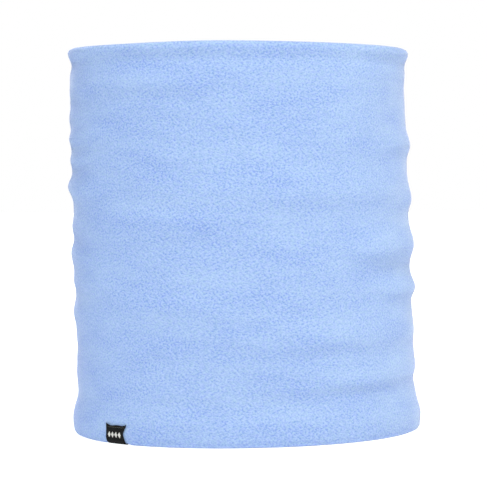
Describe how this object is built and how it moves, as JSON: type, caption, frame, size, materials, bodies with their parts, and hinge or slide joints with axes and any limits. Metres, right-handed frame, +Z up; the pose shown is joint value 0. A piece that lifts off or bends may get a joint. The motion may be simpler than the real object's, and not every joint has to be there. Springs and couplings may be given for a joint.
{
  "type": "neck gaiter",
  "caption": "Double-layer fleece neck gaiter: a soft oval sewn tube with rolled hems, a woven loop label on its bottom edge and a care label that swings inside.",
  "frame": {"origin": "under the middle of the oval, on the plane that the bottom hem stands on", "axes": "+Z up along the tube, +X along the oval's long axis to the right, -Y towards the front, where the hem label is"},
  "size_m": [0.219, 0.117, 0.246],
  "materials": {
    "fleece_shell": "matte brushed pile",
    "fleece_lining": "matte brushed pile",
    "thread": "satin spun thread",
    "woven_label": "matte damask weave",
    "label_thread": "satin spun thread",
    "care_satin": "satin"
  },
  "bodies": {
    "gaiter": {"outer_shell": "fleece_shell", "lining": "fleece_lining", "shell_seam_thread": "thread", "lining_seam_thread": "thread", "bottom_hem_thread": "thread", "top_hem_thread": "thread", "hem_label": "woven_label", "hem_label_tack_front": "label_thread", "hem_label_tack_inside": "label_thread", "care_label_sewn_end": "care_satin"},
    "care_label": {"care_label_flap": "care_satin"}
  },
  "joints": [
    {"name": "care_label_swing", "type": "hinge", "parent": "gaiter", "child": "care_label", "pos_m": [-0.01732, 0.05099, 0.208], "axis": [0, 0, 1], "range_deg": [0, 160]}
  ]
}
